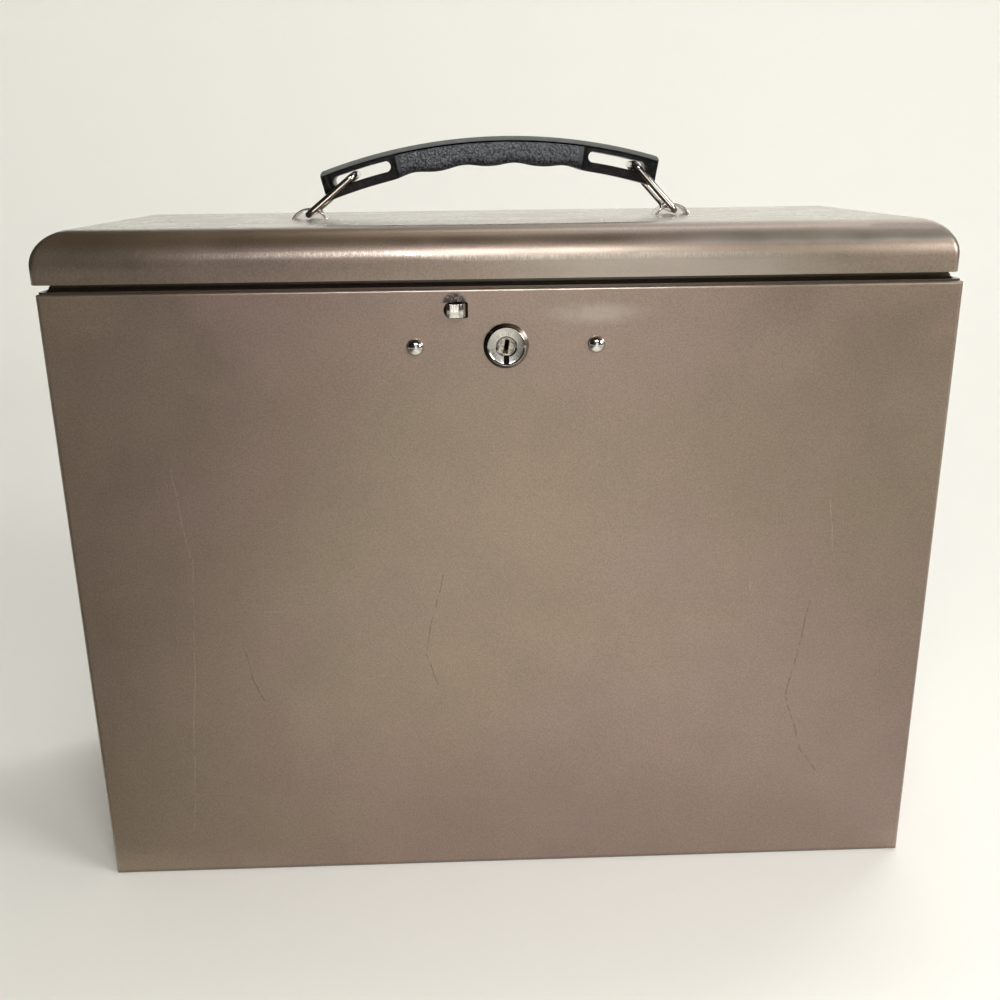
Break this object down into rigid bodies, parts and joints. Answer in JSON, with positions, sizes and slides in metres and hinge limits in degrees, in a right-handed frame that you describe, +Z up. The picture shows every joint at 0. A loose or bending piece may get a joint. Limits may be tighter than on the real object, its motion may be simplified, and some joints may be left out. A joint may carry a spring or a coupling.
{
  "type": "deed box",
  "caption": "Sheet steel deed box with a rolled-edge hinged lid, an arched carrying handle on wire links, a thumb-slide catch and a cam lock.",
  "frame": {"origin": "centre of the underside of the box body, on the floor plane", "axes": "+X along the width towards the viewer's right, +Y towards the hinged back, +Z up; the lock and catch are on the -Y face"},
  "size_m": [0.3717, 0.1613, 0.3266],
  "materials": {
    "body_paint": "satin bronze-taupe metallic enamel, worn and finely scratched",
    "lid_paint": "satin bronze-taupe metallic enamel, rubbed lighter along the roll",
    "inner_paint": "same enamel, darker and thinner inside and on the neck",
    "plated_steel": "zinc-plated steel",
    "nickel": "bright nickel plate, slightly worn",
    "lock_metal": "nickel-plated die casting",
    "plug_metal": "satin nickel",
    "brass": "bare brass",
    "spring_steel": "blued spring steel",
    "handle_plastic": "semi-gloss black moulding",
    "grip_plastic": "black moulding with a pebbled leather grain"
  },
  "bodies": {
    "box": {"body_wrap": "body_paint", "base_pan": "inner_paint", "neck_rim": "inner_paint", "body_hinge_leaf_left": "plated_steel", "body_hinge_leaf_right": "plated_steel", "hinge_pin_left": "plated_steel", "hinge_pin_right": "plated_steel", "latch_plate": "plated_steel", "dome_rivet_left": "nickel", "dome_rivet_right": "nickel", "friction_spring": "spring_steel", "lock_barrel": "lock_metal", "barrel_nut": "plated_steel"},
    "plug": {"lock_plug": "plug_metal", "lock_wafers": "brass", "lock_cam": "plated_steel", "cam_screw": "plated_steel"},
    "catch": {"catch_slide": "nickel"},
    "lid": {"lid_shell": "lid_paint", "lid_strike": "plated_steel", "lid_hinge_leaf_left": "plated_steel", "lid_hinge_leaf_right": "plated_steel", "saddle_left": "nickel", "saddle_right": "nickel"},
    "link_left": {"link_left": "nickel"},
    "link_right": {"link_right": "nickel"},
    "handle": {"handle_core": "handle_plastic", "handle_grip": "grip_plastic"}
  },
  "joints": [
    {"name": "lid_hinge", "type": "hinge", "parent": "box", "child": "lid", "pos_m": [0, 0.0763, 0.26975], "axis": [-1, 0, 0], "range_deg": [0, 135]},
    {"name": "catch_slide", "type": "slide", "parent": "box", "child": "catch", "axis": [-1, 0, 0], "range_m": [0, 0.0053]},
    {"name": "plug_turn", "type": "hinge", "parent": "box", "child": "plug", "pos_m": [0, -0.0775, 0.245], "axis": [0, 1, 0], "range_deg": [0, 90]},
    {"name": "handle_lift", "type": "slide", "parent": "lid", "child": "handle", "axis": [0, 0, 1], "range_m": [-0.0065, 0.005]},
    {"name": "link_left_swing", "type": "hinge", "parent": "lid", "child": "link_left", "pos_m": [-0.0856, 0, 0.294], "axis": [0, -1, 0], "range_deg": [-15, 12]},
    {"name": "link_right_swing", "type": "hinge", "parent": "lid", "child": "link_right", "pos_m": [0.0796, 0, 0.294], "axis": [0, 1, 0], "range_deg": [-17, 13.5]}
  ],
  "couplings": [
    {"joint": "link_left_swing", "follows": "handle_lift", "rad_per_m": 37.47},
    {"joint": "link_right_swing", "follows": "handle_lift", "rad_per_m": 42.06}
  ]
}
